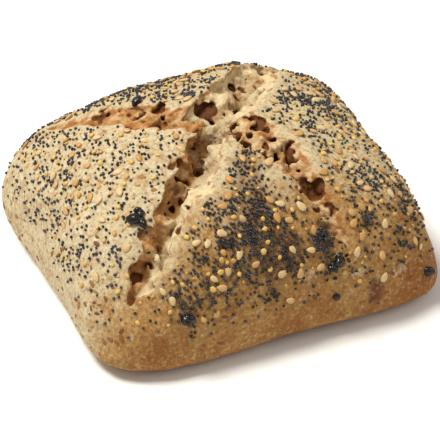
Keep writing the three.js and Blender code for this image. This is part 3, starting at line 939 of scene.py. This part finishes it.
def lay_seeds(name, places, settings, material, look):
    """One piece of many seeds: a point for each, dressed by the strewing tree."""
    rng = np.random.default_rng(look.seed)
    thickness = settings.thickness / MM
    points, facings, sizes, tones = [], [], [], []
    for place, normal in places:
        size = float(np.clip(rng.normal(1.0, look.spread), 0.6, 1.9))
        lift = thickness * size * (0.5 - look.sunk) + rng.uniform(0, look.lift)
        points.append(np.array(place) + np.array(normal) * lift)
        facings.extend(quaternion(normal, rng, look.lean, look.flat))
        sizes.append(size)
        tones.append(rng.random() ** look.tone_power)
    source = new_piece(name + "_points", points, [], material, {"size": sizes, "tone": tones})
    facing = source.data.attributes.new("facing", "QUATERNION", "POINT")
    facing.data.foreach_set("value", np.array(facings, dtype=np.float32))
    modifier = source.modifiers.new("Strewn seeds", "NODES")
    modifier.node_group = bpy.data.node_groups.get("Strewn seeds") or strewing_tree()
    given = {
        "Length": settings.length,
        "Width": settings.width,
        "Thickness": settings.thickness,
        "Taper": look.taper,
        "Dents": look.dents,
        "Segments": look.segments,
        "Rings": look.rings,
        "Seed": look.seed,
        "Material": material,
    }
    for item in modifier.node_group.interface.items_tree:
        if item.in_out == "INPUT" and item.name in given:
            modifier[item.identifier] = given[item.name]
    join_frame(plain_mesh(name, source, modifier))


@functools.cache
def crust_skin():
    """The skin for all the seeds, worked out once."""
    return Crust()


class LoafSettings(bpy.types.PropertyGroup):
    """Sizes and colours of the dough."""

    crust_step: size_setting("Crust fineness", "Spacing of the crust's mesh", 0.66)
    crumb_step: size_setting("Crumb fineness", "Spacing of the torn crumb's mesh", 0.5)
    cells: count_setting("Cells", "Burst bubbles and lumps in the torn crumb", 1500)
    crust_pale: colour_setting("Pale crust", "Crust that browned least", "#c4b18a")
    crust_brown: colour_setting("Brown crust", "Crust of the front and the sides", "#a87e45")
    crust_toasted: colour_setting("Toasted crust", "Corners and edges", "#8f5926")
    flour: colour_setting("Flour", "Flour left on the crust", "#ddcfb3")
    # crust between heaped seeds, partly stained and partly painted shade; the burnt patches take this colour
    # too
    stain_and_shade: colour_setting("Stain", "Crust between heaped seeds", "#6b441f")
    bran: colour_setting("Bran", "Flecks of bran in the dough", "#6b3f1e")
    crumb_pale: colour_setting("Pale crumb", "Crumb that stretched", "#dfca9d")
    # brown crumb: where browned lays it on walls that face away from the key light, it is partly painted
    # shade
    crumb_brown: colour_setting("Brown crumb", "Crumb that stood up", "#b8854c")
    # used for toasted tips and edges, and as painted shade in the pits
    crumb_toast_and_shade: colour_setting("Toasted crumb", "Tips of the crumb", "#96561f")
    # painted shade at the bottom of the gaps and in their pits
    crumb_painted_shade: colour_setting("Deep crumb", "Crumb at the bottom of the gaps", "#5f3514")


class SesameSettings(bpy.types.PropertyGroup):
    """Hulled sesame: flat pale drops with a browned rim, which is partly painted shade where they meet the
    crust.
    """

    count: count_setting("Count", "Seeds strewn at random", 150)
    length: size_setting("Length", "Length of a seed", 2.75)
    width: size_setting("Width", "Width of a seed", 1.75)
    thickness: size_setting("Thickness", "Thickness of a seed", 0.85)
    colour: colour_setting("Colour", "Pale seeds", "#d8bd8a")
    second_colour: colour_setting("Second colour", "Toasted seeds", "#c08d4a")
    # the rim: partly browned, partly painted shade where the seed meets the crust
    rim_brown_and_shade: colour_setting("Rim", "Browned rim", "#7d4a1c")


class PoppySettings(bpy.types.PropertyGroup):
    """Blue poppy: tiny round seeds, nearly black."""

    count: count_setting("Count", "Seeds strewn at random", 3100)
    length: size_setting("Length", "Length of a seed", 0.82)
    width: size_setting("Width", "Width of a seed", 0.68)
    thickness: size_setting("Thickness", "Thickness of a seed", 0.64)
    colour: colour_setting("Colour", "Dark seeds", "#0f0d0f")
    second_colour: colour_setting("Second colour", "Greyer seeds", "#45434a")


class MilletSettings(bpy.types.PropertyGroup):
    """Golden millet: small blunt grains."""

    count: count_setting("Count", "Grains strewn at random", 450)
    length: size_setting("Length", "Length of a grain", 1.25)
    width: size_setting("Width", "Width of a grain", 1.0)
    thickness: size_setting("Thickness", "Thickness of a grain", 0.6)
    colour: colour_setting("Colour", "Golden grains", "#dcb765")
    second_colour: colour_setting("Second colour", "Darker grains", "#c8964a")


class KernelSettings(bpy.types.PropertyGroup):
    """Linseed and burnt kernels: dark and glossy."""

    length: size_setting("Length", "Length of a kernel", 2.4)
    width: size_setting("Width", "Width of a kernel", 1.8)
    thickness: size_setting("Thickness", "Thickness of a kernel", 1.5)
    colour: colour_setting("Colour", "Dark kernels", "#0c0a09")
    second_colour: colour_setting("Second colour", "Browner kernels", "#281a12")


class BranSettings(bpy.types.PropertyGroup):
    """Wheat bran: thin curled flakes stuck to the crust."""

    count: count_setting("Count", "Flakes strewn at random", 150)
    length: size_setting("Length", "Length of a flake", 1.7)
    width: size_setting("Width", "Width of a flake", 0.9)
    thickness: size_setting("Thickness", "Thickness of a flake", 0.3)
    colour: colour_setting("Colour", "Pale flakes", "#b07a3c")
    second_colour: colour_setting("Second colour", "Brown flakes", "#70421d")


class StageSettings(bpy.types.PropertyGroup):
    """Camera, floor and lights."""

    floor_colour: colour_setting("Floor", "Colour of the floor", "#f4f2ee")
    key_power: FloatProperty(
        name="Key light", description="Power of the key light", default=8.3, min=0, unit="POWER"
    )
    sky: FloatProperty(name="Sky", description="Strength of the even light", default=0.4, min=0)


class ROLL_OT_dough(bpy.types.Operator):
    """Make the crust and the torn crumb of the gaps"""

    bl_idname = "roll.dough"
    bl_label = "Dough"

    def execute(self, context):
        settings = context.scene.roll_dough
        material = dough_material(settings)
        self.crust(settings, material)
        self.crumb(settings, material)
        return {"FINISHED"}

    def crust(self, settings, material):
        block = Block(*CRUST_BLOCK, settings.crust_step / MM)
        crust = uneven_crust(block)
        gap = gaps(block, crust)
        field = np.maximum(flat_base(crust, block), gap + LINING)
        self.finish("crust", block, crust, gap, field, material)

    def crumb(self, settings, material):
        block = Block(*CRUMB_BLOCK, settings.crumb_step / MM)
        crust = uneven_crust(block)
        gap = gaps(block, crust)
        field = np.maximum(crust, gap)
        open_crumb(block, crust, field, settings.cells)
        rough = layered(block, CRUMBLY) * smoothstep(0.2, 0.9, -crust)
        field = np.maximum(field + rough, np.maximum(crust, -gap - LINING - OVERLAP))
        self.finish("torn_crumb", block, crust, gap, field, material)

    def finish(self, name, block, crust, gap, field, material):
        points, quads = zero_surface(block, field)
        values = dough_values(points, -block.sample(crust, points), -block.sample(gap, points))
        piece = new_piece(name, points, quads, material, values)
        piece.data.set_sharp_from_angle(angle=math.radians(65))
        join_frame(piece)


class ROLL_OT_kernels(bpy.types.Operator):
    """Lay the dark kernels"""

    bl_idname = "roll.kernels"
    bl_label = "Kernels"

    REACH = 1.2  # room that a kernel takes up round its middle, in mm
    SPREAD = 0.4  # how far the kernels of a pair lie off its middle, in mm; in a larger clump it is more

    # where they lie, and how many are baked together
    CLUMPS = (
        ((-12.0, -36.0, 31.5), 1),
        ((-24.5, -43.0, 16.5), 2),
        ((-28.0, -22.5, 34.5), 9),
        ((15.0, -42.5, 21.5), 7),
        ((14.5, -45.0, 12.0), 1),
        ((-4.0, -44.0, 17.0), 1),
        ((40.5, -42.0, 10.0), 1),
        ((-15.5, 16.0, 41.0), 1),
    )

    def execute(self, context):
        settings = context.scene.roll_kernels
        skin = crust_skin()
        rng = np.random.default_rng(31)
        places = []
        middles = skin.above([middle for middle, _ in self.CLUMPS])
        for (middle, normal), (_, number) in zip(middles, self.CLUMPS):
            spread = self.SPREAD * (number - 1) ** 0.5
            offsets = rng.normal(0, spread, (number, 3))
            for offset in offsets - np.outer(offsets @ normal, normal):
                place = tuple(middle + offset)
                skin.take(place, self.REACH)
                places.append((place, normal))
        material = seed_material("glossy linseed", settings, 0.24)
        look = Look(
            seed=32, spread=0.25, sunk=0.4, lift=0.4, lean=0.5, taper=0.15, dents=0.9, segments=20,
            rings=14, slot="kernel", tone_power=2.0,
        )
        lay_seeds("kernels", places, settings, material, look)
        return {"FINISHED"}


class ROLL_OT_sesame(bpy.types.Operator):
    """Strew the sesame"""

    bl_idname = "roll.sesame"
    bl_label = "Sesame"

    REACH = 1.25  # room that a seed takes up round its middle, in mm

    # the seeds that lie apart from the others, most of them on the front petal, in plan
    SPOTS = (
        (-5.5, -23.0),
        (-7.5, -26.5),
        (4.5, -31.0),
        (2.5, -33.5),
        (5.0, -34.5),
        (9.0, -33.0),
        (10.5, -37.0),
        (4.0, -39.0),
        (5.5, -41.5),
        (8.5, -39.5),
        (10.5, -41.5),
        (0.5, -41.0),
        (-5.5, -39.5),
        (-9.5, -37.5),
        (-12.5, -39.5),
        (-15.0, -41.0),
        (-17.0, -43.0),
        (-27.0, -39.5),
        (1.5, -43.5),
        (0.0, -18.5),
        (5.0, -22.5),
        (21.5, -37.0),
        (-21.5, 5.0),
        (-12.5, -9.0),
    )

    def execute(self, context):
        settings = context.scene.roll_sesame
        skin = crust_skin()
        places = skin.above(self.SPOTS)
        for place, _ in places:
            skin.take(place, self.REACH)

        def thickly(points):
            return petal_share(points, 0.3, 1.0, 0.5, 0.9) * smoothstep(12, 30, points[:, 2])

        places += skin.strew(thickly, settings.count, radius=self.REACH, overlap=0.05, seed=41)
        material = seed_material("toasted sesame", settings, 0.45)
        look = Look(
            seed=42, spread=0.09, sunk=0.34, lift=0.15, lean=0.14, taper=0.32, dents=0.12, segments=10,
            rings=7, slot="sesame",
        )
        lay_seeds("sesame", places, settings, material, look)
        return {"FINISHED"}


class ROLL_OT_millet(bpy.types.Operator):
    """Strew the golden millet"""

    bl_idname = "roll.millet"
    bl_label = "Millet"

    def execute(self, context):
        settings = context.scene.roll_millet

        def thickly(points):
            petals = petal_share(points, 0.7, 1.0, 0.4, 0.8)
            return petals * smoothstep(12, 30, points[:, 2]) * (0.3 + clumps(points, 6, 52))

        places = crust_skin().strew(thickly, settings.count, radius=0.8, overlap=0.1, seed=51)
        material = seed_material("golden millet", settings, 0.42)
        look = Look(
            seed=53, spread=0.32, sunk=0.36, lift=0.15, lean=0.3, taper=0.12, dents=0.6, segments=8,
            rings=6, slot="grain",
        )
        lay_seeds("millet", places, settings, material, look)
        return {"FINISHED"}


class ROLL_OT_poppy(bpy.types.Operator):
    """Strew the poppy seeds"""

    bl_idname = "roll.poppy"
    bl_label = "Poppy seeds"

    def execute(self, context):
        settings = context.scene.roll_poppy
        places = crust_skin().strew(strewn_mix, settings.count, radius=0.36, overlap=0.28, seed=61)
        material = seed_material("blue poppy seed", settings, 0.45)
        look = Look(
            seed=63, spread=0.14, sunk=0.3, lift=0.2, lean=0.3, taper=0.1, dents=0.4, segments=7,
            rings=5, slot="poppy", tone_power=1.6, flat=False,
        )
        lay_seeds("poppy_seeds", places, settings, material, look)
        return {"FINISHED"}


class ROLL_OT_bran(bpy.types.Operator):
    """Stick bran flakes to the crust"""

    bl_idname = "roll.bran"
    bl_label = "Bran flakes"

    def execute(self, context):
        settings = context.scene.roll_bran

        def thickly(points):
            return smoothstep(2, 8, points[:, 2]) * (0.2 + clumps(points, 9, 72))

        places = crust_skin().strew(thickly, settings.count, radius=0.8, overlap=0.1, seed=71)
        material = seed_material("wheat bran", settings, 0.6)
        look = Look(
            seed=73, spread=0.25, sunk=0.55, lift=0.1, lean=0.1, taper=0.2, dents=0.8, segments=8,
            rings=6, slot="grain", tone_power=0.8,
        )
        lay_seeds("bran_flakes", places, settings, material, look)
        return {"FINISHED"}


class ROLL_OT_stage(bpy.types.Operator):
    """Set up the camera, the floor and the lights"""

    bl_idname = "roll.stage"
    bl_label = "Stage"

    AZIMUTH = math.radians(-21.7)
    ELEVATION = math.radians(37.2)
    ROLL = math.radians(-0.82)
    AIM = 18  # height over the middle of the base of the point that the camera is set by, in mm
    DISTANCE = 0.4795  # from the camera to that point
    SENSOR = 36  # width of the sensor, in mm
    IMAGE = 440  # width of the image, in pixels
    FOCAL = 1844.0  # in pixels
    OFF_CENTRE = (-3.85, -27.7)  # where the point appears, in pixels right of and below the image's centre

    def execute(self, context):
        self.camera(context.scene)
        self.floor(context.scene.roll_stage)
        self.lights(context.scene)
        context.scene.view_settings.view_transform = "Standard"
        return {"FINISHED"}

    def directions(self):
        """The camera's right, up and back directions when it looks straight at its target."""
        a, e, r = self.AZIMUTH, self.ELEVATION, self.ROLL
        back = Vector((math.sin(a) * math.cos(e), -math.cos(a) * math.cos(e), math.sin(e)))
        right = Vector((math.cos(a), math.sin(a), 0))
        up = back.cross(right)
        return right * math.cos(r) + up * math.sin(r), up * math.cos(r) - right * math.sin(r), back

    def camera(self, scene):
        right, up, back = self.directions()
        target = Vector((CENTRING[0] * MM, CENTRING[1] * MM, self.AIM * MM))
        data = bpy.data.cameras.new("camera")
        data.sensor_width = self.SENSOR
        data.lens = self.SENSOR * self.FOCAL / self.IMAGE
        data.clip_start, data.clip_end = 0.02, 20
        stand = Matrix.Translation(target + back * self.DISTANCE)
        ahead = -back - right * (self.OFF_CENTRE[0] / self.FOCAL) + up * (self.OFF_CENTRE[1] / self.FOCAL)
        back = -ahead.normalized()
        right = up.cross(back).normalized()
        up = back.cross(right)
        camera = bpy.data.objects.new("camera", data)
        camera.matrix_world = stand @ Matrix((right, up, back)).transposed().to_4x4()
        scene.collection.objects.link(camera)
        scene.camera = camera

    def floor(self, settings):
        material, _, shader = new_material("matt white board")
        shader.inputs["Base Color"].default_value = rgba(settings.floor_colour)
        shader.inputs["Roughness"].default_value = 0.9
        mesh = bpy.data.meshes.new("floor")
        mesh.from_pydata([(-3, -3, 0), (3, -3, 0), (3, 3, 0), (-3, 3, 0)], [], [(0, 1, 2, 3)])
        mesh.materials.append(material)
        floor = bpy.data.objects.new("floor", mesh)
        bpy.context.collection.objects.link(floor)

    def lights(self, scene):
        settings = scene.roll_stage
        world = bpy.data.worlds.new("soft sky")
        world.use_nodes = True
        background = world.node_tree.nodes["Background"].inputs
        background["Color"].default_value = (1, 1, 1, 1)
        background["Strength"].default_value = settings.sky
        scene.world = world
        # a high key light on the left, a little behind the roll, and a broad weak fill on the right in front
        key, fill = Vector((-0.36, 0.16, 0.92)) * 0.9, Vector((0.7, -0.35, 0.62)) * 1.2
        self.area("key", key, 0.28, settings.key_power, (1.0, 0.98, 0.94))
        self.area("fill", fill, 0.8, settings.key_power * 0.3, (1.0, 0.95, 0.86))

    def area(self, name, place, size, power, colour):
        data = bpy.data.lights.new(name, "AREA")
        data.size = size
        data.energy = power
        data.color = colour
        light = bpy.data.objects.new(name, data)
        light.location = place
        light.rotation_mode = "QUATERNION"
        light.rotation_quaternion = place.to_track_quat("Z", "Y")
        bpy.context.collection.objects.link(light)


class ROLL_PT_panel(bpy.types.Panel):
    """Lists the pieces of the roll"""

    bl_idname = "ROLL_PT_panel"
    bl_label = "Bread roll"
    bl_space_type = "VIEW_3D"
    bl_region_type = "UI"
    bl_category = "Bread roll"

    def draw(self, context):
        for operator in OPERATORS:
            self.layout.operator(operator.bl_idname)
        for settings in SETTINGS:
            group = getattr(context.scene, settings)
            box = self.layout.box()
            for name in group.bl_rna.properties.keys():
                if name not in ("rna_type", "name"):
                    box.prop(group, name)


SETTINGS = {
    "roll_dough": LoafSettings,
    "roll_kernels": KernelSettings,
    "roll_sesame": SesameSettings,
    "roll_millet": MilletSettings,
    "roll_poppy": PoppySettings,
    "roll_bran": BranSettings,
    "roll_stage": StageSettings,
}
OPERATORS = (
    ROLL_OT_stage,
    ROLL_OT_dough,
    ROLL_OT_kernels,
    ROLL_OT_sesame,
    ROLL_OT_millet,
    ROLL_OT_poppy,
    ROLL_OT_bran,
)


def register():
    for made in (*SETTINGS.values(), *OPERATORS, ROLL_PT_panel):
        bpy.utils.register_class(made)
    for name, group in SETTINGS.items():
        setattr(bpy.types.Scene, name, PointerProperty(type=group))


def unregister():
    for name in SETTINGS:
        delattr(bpy.types.Scene, name)
    for made in reversed((*SETTINGS.values(), *OPERATORS, ROLL_PT_panel)):
        bpy.utils.unregister_class(made)


def main():
    register()
    bpy.ops.roll.stage()
    bpy.ops.roll.dough()
    bpy.ops.roll.kernels()
    bpy.ops.roll.sesame()
    bpy.ops.roll.millet()
    bpy.ops.roll.poppy()
    bpy.ops.roll.bran()
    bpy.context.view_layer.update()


if __name__ == "__main__":
    main()
